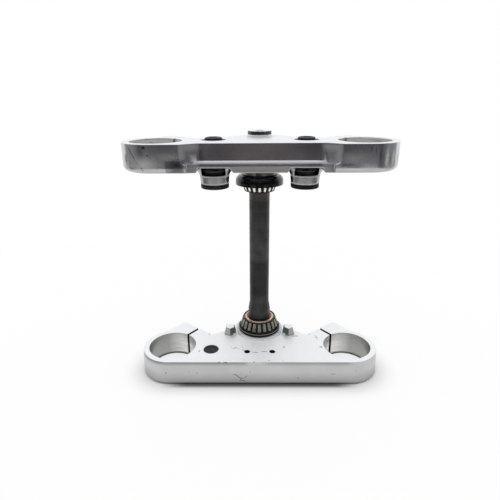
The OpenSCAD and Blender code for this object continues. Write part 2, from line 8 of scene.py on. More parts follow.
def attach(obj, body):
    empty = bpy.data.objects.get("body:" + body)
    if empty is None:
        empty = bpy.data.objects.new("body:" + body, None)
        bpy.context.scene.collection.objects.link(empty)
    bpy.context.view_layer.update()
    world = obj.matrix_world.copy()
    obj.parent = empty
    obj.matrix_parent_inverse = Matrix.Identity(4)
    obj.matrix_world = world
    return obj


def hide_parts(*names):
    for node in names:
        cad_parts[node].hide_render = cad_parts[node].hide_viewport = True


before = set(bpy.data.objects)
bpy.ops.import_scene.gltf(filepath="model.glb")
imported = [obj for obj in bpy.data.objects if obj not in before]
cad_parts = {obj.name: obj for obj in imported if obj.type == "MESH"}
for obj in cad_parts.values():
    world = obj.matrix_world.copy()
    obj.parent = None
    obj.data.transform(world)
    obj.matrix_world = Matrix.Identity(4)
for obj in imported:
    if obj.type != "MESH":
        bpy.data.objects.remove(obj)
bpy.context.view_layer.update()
MM = 0.001
SIDES = (-1, 1)                          # left and right

# Places that the materials and the worked pieces need, in millimetres
FORK_X, FORK_Y = 97.0, -35.5             # axes of the fork bores
LOWER_BORE_R, UPPER_BORE_R = 25.5, 24.5
LOWER_TOP, UPPER_TOP = 27.5, 250.0       # top faces of the clamps
BRACKET_X, BRACKET_Y, BRACKET_R = 13.7, -47.7, 3.2
SLIT_ANGLE, SLIT_SHIFT = 51.5, 2.4       # pinch slits, in degrees and off the bore's axis
SLIT_HALF, SLIT_START = 1.42, 22.0       # half their width, and how far out they begin
STOP_X = 33.8                            # the ridge of a steering stop
HEAD_R = 11.0                            # where the top bolt's knurled side begins

# The camera of the photograph, fitted to its circles and edges: metres and radians
LENS_MM, SENSOR_MM = 29.874, 36.0
EYE = (-0.00553, -0.431445, 0.29089)
YAW, PITCH, ROLL = -0.01124, 0.36174, -0.00633
camera = bpy.data.objects.new("camera", bpy.data.cameras.new("camera"))
bpy.context.scene.collection.objects.link(camera)
camera.data.sensor_width = SENSOR_MM
camera.data.lens = LENS_MM
camera.data.clip_start = 0.01
forward = Vector((math.sin(YAW) * math.cos(PITCH), math.cos(YAW) * math.cos(PITCH),
                  -math.sin(PITCH)))
level = Vector((math.cos(YAW), -math.sin(YAW), 0.0))
upright = level.cross(forward)
right = level * math.cos(ROLL) + upright * math.sin(ROLL)
up = upright * math.cos(ROLL) - level * math.sin(ROLL)
camera.matrix_world = Matrix((
    (right.x, up.x, -forward.x, EYE[0]),
    (right.y, up.y, -forward.y, EYE[1]),
    (right.z, up.z, -forward.z, EYE[2]),
    (0.0, 0.0, 0.0, 1.0)))
bpy.context.scene.camera = camera
bpy.context.scene.view_settings.view_transform = "Standard"


def hex_colour(code):
    """The linear colour of an sRGB hex value such as 8a8d90."""
    parts = [int(code[i:i + 2], 16) / 255 for i in (0, 2, 4)]
    return [p / 12.92 if p <= 0.04045 else ((p + 0.055) / 1.055) ** 2.4 for p in parts] + [1.0]


def add(tree, kind, inputs=(), **settings):
    """Adds a node with its settings. Its inputs come in a list, or by number or name, and
    each takes a plain value, a socket, or a node, whose first live output it gets."""
    node = tree.nodes.new("ShaderNode" + kind)
    for name, value in settings.items():
        setattr(node, name, value)
    for name, value in inputs.items() if isinstance(inputs, dict) else enumerate(inputs):
        if isinstance(value, bpy.types.Node):
            value = next(s for s in value.outputs if s.enabled)
        if isinstance(value, bpy.types.NodeSocket):
            tree.links.new(value, node.inputs[name])
        else:
            node.inputs[name].default_value = value
    return node


def new_material(name):
    """An empty material, its node tree and its Object coordinates."""
    material = bpy.data.materials.new(name)
    material.use_nodes = True
    tree = material.node_tree
    tree.nodes.clear()
    return material, tree, add(tree, "TexCoord").outputs["Object"]


def smudge(tree, place, centre, radius, stretch=(1, 1, 1), soft=0.5, ragged_by=1.0):
    """1 inside a ragged spot around centre, in millimetres, and 0 outside. soft is the
    share of the radius over which it fades, and ragged_by how far its edge wanders."""
    ragged = add(tree, "TexNoise", {"Vector": place, "Scale": 1 / (radius * 0.6 * MM),
                                    "Detail": 4.0})
    away = add(tree, "VectorMath", [place, [c * MM for c in centre]], operation="SUBTRACT")
    away = add(tree, "VectorMath", [away, [1 / s for s in stretch]], operation="MULTIPLY")
    length = add(tree, "VectorMath", [away], operation="LENGTH")
    wavy = add(tree, "Math", [ragged, radius * ragged_by * MM, length],
               operation="MULTIPLY_ADD")
    end = 1 + 0.5 * ragged_by
    return add(tree, "MapRange", [wavy, radius * (end - soft) * MM, radius * end * MM,
                                  1.0, 0.0], interpolation_type="SMOOTHSTEP")


def between(tree, value, low, high, edge, share=1.0):
    """share between low and high, in millimetres, and 0 beyond, with softened ends."""
    rise = add(tree, "MapRange", [value, (low - edge) * MM, (low + edge) * MM])
    fall = add(tree, "MapRange", [value, (high - edge) * MM, (high + edge) * MM, share, 0.0])
    return add(tree, "Math", [rise, fall], operation="MULTIPLY")


def block(tree, place, low, high, edge):
    """1 inside the upright box between two corners, in millimetres, and 0 outside."""
    inside = []
    for axis, a, b in zip("XYZ", low, high):
        along = add(tree, "SeparateXYZ", [place]).outputs[axis]
        inside += [add(tree, "MapRange", [along, (a - edge) * MM, (a + edge) * MM]),
                   add(tree, "MapRange", [along, (b - edge) * MM, (b + edge) * MM, 1.0, 0.0])]
    least = inside[0]
    for mask in inside[1:]:
        least = add(tree, "Math", [least, mask], operation="MINIMUM")
    return least


def scratch(tree, place, a, b, width):
    """1 on a thin line from a to b, in millimetres, that wanders a little."""
    wander, stride = 1.4 * MM, 6.25 * MM
    start = Vector(a) * MM
    run = (Vector(b) - Vector(a)) * MM
    wiggle = add(tree, "TexNoise", {"Vector": place, "Scale": 1 / stride, "Detail": 2.0})
    wiggle = add(tree, "VectorMath", [wiggle.outputs["Color"], [0.5, 0.5, 0.5]],
                 operation="SUBTRACT")
    wiggle = add(tree, "VectorMath", {0: wiggle, "Scale": wander}, operation="SCALE")
    away = add(tree, "VectorMath", [place, wiggle], operation="ADD")
    away = add(tree, "VectorMath", [away, start], operation="SUBTRACT")
    along = add(tree, "VectorMath", [away, run / run.length_squared], operation="DOT_PRODUCT")
    along = add(tree, "Clamp", [along])
    nearest = add(tree, "VectorMath", {0: run, "Scale": along}, operation="SCALE")
    gap = add(tree, "VectorMath", [away, nearest], operation="DISTANCE")
    return add(tree, "MapRange", [gap, width * 0.4 * MM, width * MM, 1.0, 0.0],
               interpolation_type="SMOOTHSTEP")


def pit(tree, place, x, y, z, r):
    """1 inside a small round pit, in millimetres, and 0 outside."""
    away = add(tree, "VectorMath", [place, [x * MM, y * MM, z * MM]], operation="DISTANCE")
    return add(tree, "MapRange", [away, r * 0.5 * MM, r * MM, 1.0, 0.0])


def bored_wall(tree, place, x, y, reach):
    """1 on the wall of an upright bore at x, y, and 0 further out than reach."""
    flat = add(tree, "VectorMath", [place, [1, 1, 0]], operation="MULTIPLY")
    away = add(tree, "VectorMath", [flat, [x * MM, y * MM, 0]], operation="DISTANCE")
    return add(tree, "MapRange", [away, reach * MM, (reach + 0.25) * MM, 1.0, 0.0])


def slit_wall(tree, place, side):
    """1 on the walls of the slit beside one fork bore, and 0 elsewhere."""
    turn = math.radians(180 - SLIT_ANGLE)
    along = (side * math.cos(turn), math.sin(turn), 0)
    across = (-side * math.sin(turn), math.cos(turn), 0)
    away = add(tree, "VectorMath", [place, [side * FORK_X * MM, FORK_Y * MM, 0]],
               operation="SUBTRACT")
    offset = add(tree, "VectorMath", [away, across], operation="DOT_PRODUCT")
    offset = add(tree, "Math", [offset, SLIT_SHIFT * MM], operation="ADD")
    offset = add(tree, "Math", [offset], operation="ABSOLUTE")
    near = add(tree, "MapRange", [offset, SLIT_HALF * MM, (SLIT_HALF + 0.08) * MM, 1.0, 0.0])
    ahead = add(tree, "VectorMath", [away, along], operation="DOT_PRODUCT")
    ahead = add(tree, "MapRange", [ahead, SLIT_START * MM, (SLIT_START + 2) * MM])
    return add(tree, "Math", [near, ahead], operation="MULTIPLY")


def largest(tree, masks):
    """The largest of several masks at each point."""
    most = masks[0]
    for mask in masks[1:]:
        most = add(tree, "Math", [most, mask], operation="MAXIMUM")
    return most


def marked(tree, place, spots, blocks):
    """1 in any of these smudges and blocks, and 0 elsewhere."""
    return largest(tree, [smudge(tree, place, *s) for s in spots]
                   + [block(tree, place, *b) for b in blocks])


def seen_rays(tree):
    """1 for the rays that carry a picture, and 0 for those that only carry light."""
    rays = add(tree, "LightPath").outputs
    return largest(tree, [rays["Is Camera Ray"], rays["Is Glossy Ray"],
                          rays["Is Transmission Ray"]])


# The clamps' patterns, in millimetres, and the colours that both clamps share. Blasted
# grain and turning rings are really some tenths of a millimetre, too fine for the render,
# so both are drawn as coarse as they need to be to show
CLOUD_MM, GRAIN_MM, RING_MM, RUB_MM = 26, 0.8, 0.9, 5
BROW, BORE_SHADE, RING, RUB = "58595b", "7d7d7b", "9b9a97", "5d5b57"
HAZE_AND_HIGHLIGHT, CUT, STOP_SHADE, PAINTED_SHADE_TONE = "c3c0bc", "34322f", "3a3938", "1d1b1a"

# Where the lower clamp's front is shaded under its top edge: not in its middle, nor at its
# right end
BROW_SPANS = (((-130, -70, 0), (-14, 40, 300), 4.0), ((8, -70, 0), (94, 40, 300), 8.0))


def clamp_aluminium(name, bore_r, top, finish, haze_and_highlights, stains_and_painted_light, scratches, pits, foot=0.0):
    """Aluminium clamp. finish gives the colours of the machined top, the cast sides, their
    clouds, low parts and bores, how strong the shade under the top's edge and in the bores
    is, and for (top, sides) how rough and how metallic they look: 1 for rubbed bare metal,
    less for a blasted skin that scatters the light. The top's paler colour on every upward
    face is a painted light from above, and the darker low parts, the shade under the top's
    edge and in the bores are painted shade. The bores show turning rings and rub marks.
    Slits and holes are painted dark as shade, and haze, stains, scratches and pits are
    placed where they were read off; the haze is mostly painted highlights and the stains
    partly painted light, shade and reflections. foot is how high the painted shade along
    the foot reaches, in mm."""
    material, tree, place = new_material(name)
    height = add(tree, "SeparateXYZ", [place]).outputs["Z"]
    clouds = add(tree, "TexNoise", {"Vector": place, "Scale": 1 / (CLOUD_MM * MM),
                                    "Detail": 4.0})
    grain = add(tree, "TexNoise", {"Vector": place, "Scale": 1 / (GRAIN_MM * MM),
                                   "Detail": 2.0})

    # Sides: clouds as long as a hand's rub, and a painted shade low down and under the top's
    # edge
    patchy = add(tree, "MapRange", [clouds, 0.38, 0.66])
    side = add(tree, "Mix", {0: patchy, 6: hex_colour(finish["side"]),
                             7: hex_colour(finish["cloud"])}, data_type="RGBA")
    low = add(tree, "MapRange", [height, finish["low"][0] * MM, finish["low"][1] * MM,
                                 finish["low"][2], 0.0])
    side = add(tree, "Mix", {0: low, 6: side, 7: hex_colour(finish["low_colour"])},
               data_type="RGBA")
    upward = add(tree, "TexCoord").outputs["Normal"]
    high = add(tree, "MapRange", [height, (top - 5.0) * MM, (top - 0.8) * MM, 0.0,
                                  finish["brow"]])
    shaded = marked(tree, place, [], BROW_SPANS)
    high = add(tree, "Math", [high, shaded], operation="MULTIPLY")
    side = add(tree, "Mix", {0: high, 6: side, 7: hex_colour(BROW)}, data_type="RGBA")
    # Upward faces take the top's colour: a painted light from above, with the top's own
    # roughness and metal
    flat = add(tree, "MapRange", [add(tree, "SeparateXYZ", [upward]).outputs["Z"], 0.3, 0.6])
    base = add(tree, "Mix", {0: flat, 6: side, 7: hex_colour(finish["top"])},
               data_type="RGBA")
    speckle = add(tree, "MapRange", [grain, 0.35, 0.8, 0.0, 0.2])
    base = add(tree, "Mix", {0: speckle, 6: base, 7: hex_colour(finish["grain"])},
               data_type="RGBA")

    # Bores: turning rings, with lines and rubs from the fork tubes
    bores = largest(tree, [bored_wall(tree, place, s * FORK_X, FORK_Y, bore_r + 0.1)
                           for s in SIDES])
    squeezed = add(tree, "VectorMath", [place, [0.03, 0.03, 1.0]], operation="MULTIPLY")
    rings = add(tree, "TexNoise", {"Vector": squeezed, "Scale": 1 / (RING_MM * MM),
                                   "Detail": 3.0})
    drawn = add(tree, "VectorMath", [place, [0.45, 0.45, 2.6]], operation="MULTIPLY")
    rubs = add(tree, "TexNoise", {"Vector": drawn, "Scale": 1 / (RUB_MM * MM), "Detail": 6.0,
                                  "Roughness": 0.65, "Distortion": 0.5})
    ringed = add(tree, "MapRange", [rings, 0.45, 0.75, 0.0, 0.6])
    outer = add(tree, "Math", [add(tree, "SeparateXYZ", [place]).outputs["X"]],
                operation="ABSOLUTE")
    outer = add(tree, "MapRange", [outer, (FORK_X - 8) * MM, (FORK_X + 10) * MM, 0.0,
                                   finish["bore_shade"]])
    bored = add(tree, "Mix", {0: outer, 6: hex_colour(finish["bore"]),
                              7: hex_colour(BORE_SHADE)}, data_type="RGBA")
    bored = add(tree, "Mix", {0: ringed, 6: bored, 7: hex_colour(RING)}, data_type="RGBA")
    rubbed = add(tree, "MapRange", [rubs, 0.6, 0.72, 0.0, 0.75])
    bored = add(tree, "Mix", {0: rubbed, 6: bored, 7: hex_colour(RUB)}, data_type="RGBA")
    base = add(tree, "Mix", {0: bores, 6: base, 7: bored}, data_type="RGBA")

    # Haze and highlights: pale patches, mostly painted highlights and reflections, duller and
    # rougher than bare metal
    patches = [add(tree, "Math", [marked(tree, place, spots, blocks), share],
                   operation="MULTIPLY") for share, spots, blocks in haze_and_highlights]
    haze_and_highlight = largest(tree, patches)
    base = add(tree, "Mix", {0: haze_and_highlight, 6: base, 7: hex_colour(HAZE_AND_HIGHLIGHT)}, data_type="RGBA")

    # Marks: stains, and painted light, shade and reflections, each by its colour, and
    # scratches and pits cut to dark
    for colour, share, spots, blocks in stains_and_painted_light:
        stain_and_painted_light = add(tree, "Math", [marked(tree, place, spots, blocks), share],
                      operation="MULTIPLY")
        base = add(tree, "Mix", {0: stain_and_painted_light, 6: base, 7: hex_colour(colour)},
                   data_type="RGBA")
    damage = largest(tree, [pit(tree, place, *p) for p in pits]
                     + [scratch(tree, place, *s) for s in scratches])
    shade = add(tree, "Math", [damage, 0.85], operation="MULTIPLY")
    base = add(tree, "Mix", {0: shade, 6: base, 7: hex_colour(CUT)}, data_type="RGBA")

    # Painted shade: dark in the slits, and on the lower clamp in the bracket's holes and along
    # the foot. The stops' inner faces get a painted shade too
    painted_shade = [slit_wall(tree, place, s) for s in SIDES]
    if foot:
        painted_shade += [bored_wall(tree, place, s * BRACKET_X, BRACKET_Y, BRACKET_R)
                 for s in SIDES]
    below = add(tree, "MapRange", [height, (top - 0.5) * MM, (top - 0.1) * MM, 1.0, 0.0])
    painted_shade = add(tree, "Math", [largest(tree, painted_shade), below], operation="MULTIPLY")
    painted_shade = add(tree, "Math", [painted_shade, finish["painted_shade"]], operation="MULTIPLY")
    if foot:
        # Painted shade on the stops' inner faces
        inner = add(tree, "Math", [add(tree, "SeparateXYZ", [place]).outputs["X"]],
                    operation="ABSOLUTE")
        inner = add(tree, "MapRange", [inner, (STOP_X - 0.3) * MM, STOP_X * MM, 0.62, 0.0])
        inner = add(tree, "Math", [inner, add(tree, "MapRange", [
            height, (top + 1.5) * MM, (top + 3.0) * MM])], operation="MULTIPLY")
        inner = add(tree, "Math", [inner, add(tree, "MapRange", [
            height, (top + 9.2) * MM, (top + 9.6) * MM, 1.0, 0.0])], operation="MULTIPLY")
        base = add(tree, "Mix", {0: inner, 6: base, 7: hex_colour(STOP_SHADE)},
                   data_type="RGBA")
        # Painted shade along the foot, with a ragged top
        foot_shade = add(tree, "Math", [clouds, -foot * 0.5 * MM, height],
                    operation="MULTIPLY_ADD")
        foot_shade = add(tree, "MapRange", [foot_shade, 0.0, foot * MM, 0.85, 0.0])
        painted_shade = add(tree, "Math", [painted_shade, foot_shade], operation="MAXIMUM")
    base = add(tree, "Mix", {0: painted_shade, 6: base, 7: hex_colour(PAINTED_SHADE_TONE)}, data_type="RGBA")

    # How bare the metal is, how rough, and what stands proud of it
    bare = add(tree, "MapRange", [flat, 0.0, 1.0, finish["metal"][1], finish["metal"][0]])
    bare = add(tree, "Mix", {0: bores, 2: bare, 3: finish["bore_metal"]},
               data_type="FLOAT")
    bare = add(tree, "Mix", {0: painted_shade, 2: bare, 3: 0.1}, data_type="FLOAT")
    satin = add(tree, "MapRange", [flat, 0.0, 1.0, finish["rough"][1], finish["rough"][0]])
    satin = add(tree, "Math", [clouds, 0.16, satin], operation="MULTIPLY_ADD")
    satin = add(tree, "Mix", {0: bores, 2: satin, 3: 0.3}, data_type="FLOAT")
    bare = add(tree, "Mix", {0: haze_and_highlight, 2: bare, 3: 0.2}, data_type="FLOAT")
    satin = add(tree, "Mix", {0: haze_and_highlight, 2: satin, 3: 0.5}, data_type="FLOAT")
    satin = add(tree, "Mix", {0: painted_shade, 2: satin, 3: 0.7}, data_type="FLOAT")
    relief = add(tree, "Math", [rings, bores], operation="MULTIPLY")
    relief = add(tree, "Math", [grain, 0.5, relief], operation="MULTIPLY_ADD")
    relief = add(tree, "Math", [damage, -3.0, relief], operation="MULTIPLY_ADD")
    bump = add(tree, "Bump", {"Strength": 0.3, "Distance": finish["relief"] * MM,
                              "Height": relief})
    add(tree, "OutputMaterial", [add(tree, "BsdfPrincipled", {
        "Base Color": base, "Metallic": bare, "Roughness": satin, "Normal": bump})])
    return material


def rubbed_and_highlit_edge(name, colours, rough, foot=0.0):
    """The rounded edges of a casting, bright in patches as rubbed metal and as a painted
    highlight, and dull and nicked in between. Its nicks are drawn 1.1 mm wide, coarser than
    real ones, so that they show. Up to foot, in mm, the edges are darkened as a painted shade."""
    material, tree, place = new_material(name)
    patches = add(tree, "TexNoise", {"Vector": place, "Scale": 1 / (9 * MM),
                                     "Detail": 4.0, "Distortion": 0.5})
    nicks = add(tree, "TexNoise", {"Vector": place, "Scale": 1 / (1.1 * MM), "Detail": 3.0})
    worn = add(tree, "MapRange", [patches, 0.4, 0.62])
    base = add(tree, "Mix", {0: worn, 6: hex_colour(colours[0]), 7: hex_colour(colours[1])},
               data_type="RGBA")
    nicked = add(tree, "MapRange", [nicks, 0.66, 0.76, 0.0, 0.8])
    base = add(tree, "Mix", {0: nicked, 6: base, 7: hex_colour("5c5a58")}, data_type="RGBA")
    # Painted shade along the foot
    if foot:
        height = add(tree, "SeparateXYZ", [place]).outputs["Z"]
        painted_foot_shade = add(tree, "MapRange", [height, foot * 0.6 * MM, foot * MM, 0.9, 0.0])
        base = add(tree, "Mix", {0: painted_foot_shade, 6: base, 7: hex_colour("2a2827")},
                   data_type="RGBA")
    satin = add(tree, "MapRange", [patches, 0.4, 0.62, rough, rough + 0.18])
    bump = add(tree, "Bump", {"Strength": 0.4, "Distance": 0.08 * MM, "Height": nicks})
    add(tree, "OutputMaterial", [add(tree, "BsdfPrincipled", {
        "Base Color": base, "Metallic": 1.0, "Roughness": satin, "Normal": bump})])
    return material


def turned_steel(name, colours, rough, ring_mm=0.7, cloud_mm=9, bands=(), metal=1.0):
    """Steel turned on a lathe: fine rings round the axis, which draw each highlight out
    along it, and faint clouds of handling. The rings are drawn ring_mm apart, coarser than
    a lathe leaves them, so that they show. bands are (from z, to z, colour, share, edge) of
    darker or lighter stretches, in mm."""
    material, tree, place = new_material(name)
    clouds = add(tree, "TexNoise", {"Vector": place, "Scale": 1 / (cloud_mm * MM),
                                    "Detail": 4.0, "Distortion": 0.3})
    squeezed = add(tree, "VectorMath", [place, [0.012, 0.012, 1.0]], operation="MULTIPLY")
    rings = add(tree, "TexNoise", {"Vector": squeezed, "Scale": 1 / (ring_mm * MM),
                                   "Detail": 2.0})
    cloudy = add(tree, "MapRange", [clouds, 0.38, 0.66])
    base = add(tree, "Mix", {0: cloudy, 6: hex_colour(colours[0]),
                             7: hex_colour(colours[1])}, data_type="RGBA")
    ringed = add(tree, "MapRange", [rings, 0.4, 0.7, 0.0, 0.45])
    base = add(tree, "Mix", {0: ringed, 6: base, 7: hex_colour(colours[2])},
               data_type="RGBA")
    height = add(tree, "SeparateXYZ", [place]).outputs["Z"]
    for low, high, colour, share, edge in bands:
        inside = between(tree, height, low, high, edge, share)
        base = add(tree, "Mix", {0: inside, 6: base, 7: hex_colour(colour)},
                   data_type="RGBA")
    satin = add(tree, "MapRange", [clouds, 0.3, 0.7, rough - 0.05, rough + 0.08])
    bump = add(tree, "Bump", {"Strength": 0.4, "Distance": 0.04 * MM, "Height": rings})
    add(tree, "OutputMaterial", [add(tree, "BsdfPrincipled", {
        "Base Color": base, "Metallic": metal, "Roughness": satin, "Normal": bump})])
    return material


def knurled_head(name, low, high):
    """A socket head of plated steel: bright on top, and from low to high, in mm, a dark
    knurled side with paler teeth. Its teeth are drawn about 1.5 mm apart, coarser than a fine
    knurl, so that they show."""
    material, tree, place = new_material(name)
    axes = add(tree, "SeparateXYZ", [place]).outputs
    teeth = add(tree, "VectorMath", [place, [1.0, 1.0, 0.15]], operation="MULTIPLY")
    teeth = add(tree, "TexNoise", {"Vector": teeth, "Scale": 1 / (1.5 * MM), "Detail": 2.0})
    edge = add(tree, "Math", [teeth, 1.8 * MM, axes["Z"]], operation="MULTIPLY_ADD")
    rise = add(tree, "MapRange", [axes["Z"], (low - 0.2) * MM, (low + 0.2) * MM])
    fall = add(tree, "MapRange", [edge, (high + 0.9) * MM, (high + 1.1) * MM, 1.0, 0.0])
    flat = add(tree, "VectorMath", [place, [1.0, 1.0, 0.0]], operation="MULTIPLY")
    away = add(tree, "VectorMath", [flat], operation="LENGTH")
    outside = add(tree, "MapRange", [away, HEAD_R * MM, (HEAD_R + 0.3) * MM])
    side = add(tree, "Math", [add(tree, "Math", [rise, fall], operation="MULTIPLY"), outside],
               operation="MULTIPLY")
    lit = add(tree, "MapRange", [teeth, 0.5, 0.62, 0.0, 0.4])
    dark = add(tree, "Mix", {0: lit, 6: hex_colour("17191b"), 7: hex_colour("6a6d70")},
               data_type="RGBA")
    base = add(tree, "Mix", {0: side, 6: hex_colour("e6e7e9"), 7: dark}, data_type="RGBA")
    metal = add(tree, "MapRange", [side, 0.0, 1.0, 0.35, 0.1])
    satin = add(tree, "MapRange", [teeth, 0.3, 0.7, 0.22, 0.34])
    bump = add(tree, "Bump", {"Strength": 0.5, "Distance": 0.3 * MM, "Height": teeth})
    add(tree, "OutputMaterial", [add(tree, "BsdfPrincipled", {
        "Base Color": base, "Metallic": metal, "Roughness": satin, "Normal": bump})])
    return material


def greasy_steel(name, clean, greasy, grease_share, rough, bore_r=0.0, bare=None):
    """Ground bearing steel with a thin film of old grease that gathers in patches and dulls
    its shine. Its grinding marks are drawn 1.1 mm apart, far coarser than real ones, so that
    they show. Further out than a bore of bore_r, in mm, an inner race takes the paler colour
    bare."""
    material, tree, place = new_material(name)
    patches = add(tree, "TexNoise", {"Vector": place, "Scale": 1 / (4 * MM), "Detail": 5.0,
                                     "Distortion": 0.8})
    streaked = add(tree, "VectorMath", [place, [1.0, 1.0, 0.2]], operation="MULTIPLY")
    grind = add(tree, "TexNoise", {"Vector": streaked, "Scale": 1 / (1.1 * MM),
                                   "Detail": 3.0})
    film = add(tree, "MapRange", [patches, 0.62 - grease_share * 0.4,
                                  0.72 - grease_share * 0.2])
    ground = add(tree, "MapRange", [grind, 0.35, 0.7, 0.0, 0.6])
    base = add(tree, "Mix", {0: ground, 6: hex_colour(clean), 7: hex_colour(greasy)},
               data_type="RGBA")
    base = add(tree, "Mix", {0: film, 6: base, 7: hex_colour(greasy)}, data_type="RGBA")
    if bore_r:
        flat = add(tree, "VectorMath", [place, [1.0, 1.0, 0.0]], operation="MULTIPLY")
        away = add(tree, "VectorMath", [flat], operation="LENGTH")
        beyond_bore = add(tree, "MapRange", [away, (bore_r + 1.6) * MM, (bore_r + 2.6) * MM])
        base = add(tree, "Mix", {0: beyond_bore, 6: base, 7: hex_colour(bare)},
                   data_type="RGBA")
    satin = add(tree, "MapRange", [film, 0.0, 1.0, rough, rough + 0.15])
    bump = add(tree, "Bump", {"Strength": 0.3, "Distance": 0.03 * MM, "Height": grind})
    add(tree, "OutputMaterial", [add(tree, "BsdfPrincipled", {
        "Base Color": base, "Metallic": 0.85, "Roughness": satin, "Normal": bump})])
    return material


def black_part(name, dark, dusty, rough, grain_mm, dust, coat=0.0, line=()):
    """Moulded rubber, blackened steel or black enamel: nearly black, with a faint skin of
    dust, a grain from the mould or the brush and hardly a gloss of its own. The grain is
    grain_mm across, coarser than the real one, so that it shows. line is (from z, to z,
    colour, share) of a stretch painted pale as a highlight, in mm."""
    material, tree, place = new_material(name)
    cloud = add(tree, "TexNoise", {"Vector": place, "Scale": 1 / (7 * MM), "Detail": 5.0})
    grain = add(tree, "TexNoise", {"Vector": place, "Scale": 1 / (grain_mm * MM),
                                   "Detail": 2.0})
    skin = add(tree, "MapRange", [cloud, 0.48, 0.75, 0.0, dust])
    base = add(tree, "Mix", {0: skin, 6: hex_colour(dark), 7: hex_colour(dusty)},
               data_type="RGBA")
    if line:
        height = add(tree, "SeparateXYZ", [place]).outputs["Z"]
        low, high, colour, share = line
        inside = between(tree, height, low, high, 0.1, share)
        base = add(tree, "Mix", {0: inside, 6: base, 7: hex_colour(colour)},
                   data_type="RGBA")
    satin = add(tree, "MapRange", [cloud, 0.3, 0.7, rough, rough + 0.12])
    bump = add(tree, "Bump", {"Strength": 0.3, "Distance": 0.06 * MM, "Height": grain})
    add(tree, "OutputMaterial", [add(tree, "BsdfPrincipled", {
        "Base Color": base, "Roughness": satin, "Specular IOR Level": 0.2,
        "Coat Weight": coat, "Coat Roughness": 0.08, "Normal": bump})])
    return material


# Marks read from the photograph, in millimetres. Stains are (colour, share, smudges,
# blocks), haze is (share, smudges, blocks), scratches are (from, to, width) and pits
# (x, y, z, radius). Some stains are painted light, shade and reflections, and the haze is
# mostly painted highlights and reflections
LOWER_STAINS_AND_PAINTED_LIGHT = [
    # Painted light: the raised seat round the stem made pale, over the shade at its rim
    ("f4f6f8", 0.9, [], [((-30.0, -32.0, 27.7), (30.0, 32.0, 29.8), 0.1)]),
    ("77756f", 0.55, [((-26.5, -41.2, 27.5), 1.1, (2.2, 1, 1)),
                      ((-18.9, -39.6, 27.5), 0.9, (1.6, 1, 1)),
                      ((-5.0, -49.2, 27.5), 1.0, (3.0, 0.8, 1)),
                      ((4.5, -48.2, 27.5), 1.0, (2.4, 0.8, 1)),
                      ((-19.0, -35.5, 27.5), 0.7), ((-13.0, -36.5, 27.5), 0.6)], []),
    # Painted shade: bluish grey patches on the top beside the stops and the bores
    ("aab4b9", 0.7, [((27.0, -39.3, 27.5), 1.7, (1, 1.5, 1)),
                     ((40.0, -17.0, 27.5), 2.2, (2.6, 0.8, 1)),
                     ((65.4, -19.5, 27.5), 1.6, (1, 2, 1)),
                     ((68.0, -39.3, 27.5), 1.8, (1.2, 1.6, 1)),
                     ((-66.0, -47.0, 27.5), 1.6, (1, 1.4, 1))], [])]
LOWER_SCRATCHES = [
    ((-31.0, -41.5, 27.5), (-27.5, -42.3, 27.5), 0.4),
    ((-27.0, -39.4, 27.5), (-24.6, -40.6, 27.5), 0.35),
    ((-19.5, -43.8, 27.5), (-16.3, -46.2, 27.5), 0.5),
    ((-8.6, -49.0, 27.5), (-1.5, -50.0, 27.5), 0.45),
    ((1.5, -48.2, 27.5), (8.2, -47.4, 27.5), 0.45),
    ((-27.8, -68.0, 13.2), (-22.4, -68.1, 9.8), 0.5),
    ((-22.6, -68.1, 9.4), (-18.2, -68.3, 7.4), 0.55),
    ((-21.5, -68.4, 5.4), (-15.4, -68.4, 4.4), 0.4),
    ((-13.8, -68.1, 11.2), (-16.2, -68.2, 8.2), 0.4),
    ((74.4, -67.9, 13.6), (79.4, -67.9, 13.2), 0.35)]
LOWER_PITS = [
    (-99.3, -67.7, 14.3, 0.8), (-74.9, -67.8, 15.7, 0.5), (-66.5, -67.9, 14.5, 0.7),
    (-10.4, -67.8, 15.7, 0.6), (40.3, -68.2, 8.4, 0.8), (101.0, -67.5, 16.8, 0.6),
    (-20.2, -68.3, 6.6, 0.8), (-17.0, -68.3, 5.8, 0.7), (-24.6, -68.1, 12.0, 0.6),
    (-42.9, -66.9, 27.2, 1.0), (-35.5, -67.0, 27.0, 1.1), (-37.6, -66.8, 27.3, 0.7),
    (-15.7, -63.2, 27.5, 0.7), (-6.2, -66.4, 27.4, 0.8), (9.6, -64.1, 27.5, 0.8),
    (24.3, -65.4, 27.5, 0.7), (-31.7, -38.3, 27.5, 0.6), (-23.2, -41.8, 27.5, 0.7),
    (-20.6, -37.8, 27.5, 0.5), (-17.1, -45.0, 27.5, 0.7), (11.3, -44.6, 27.5, 0.6),
    (43.8, -17.2, 27.5, 0.7), (66.0, -24.0, 27.5, 0.6), (64.6, -16.0, 27.5, 0.6)]
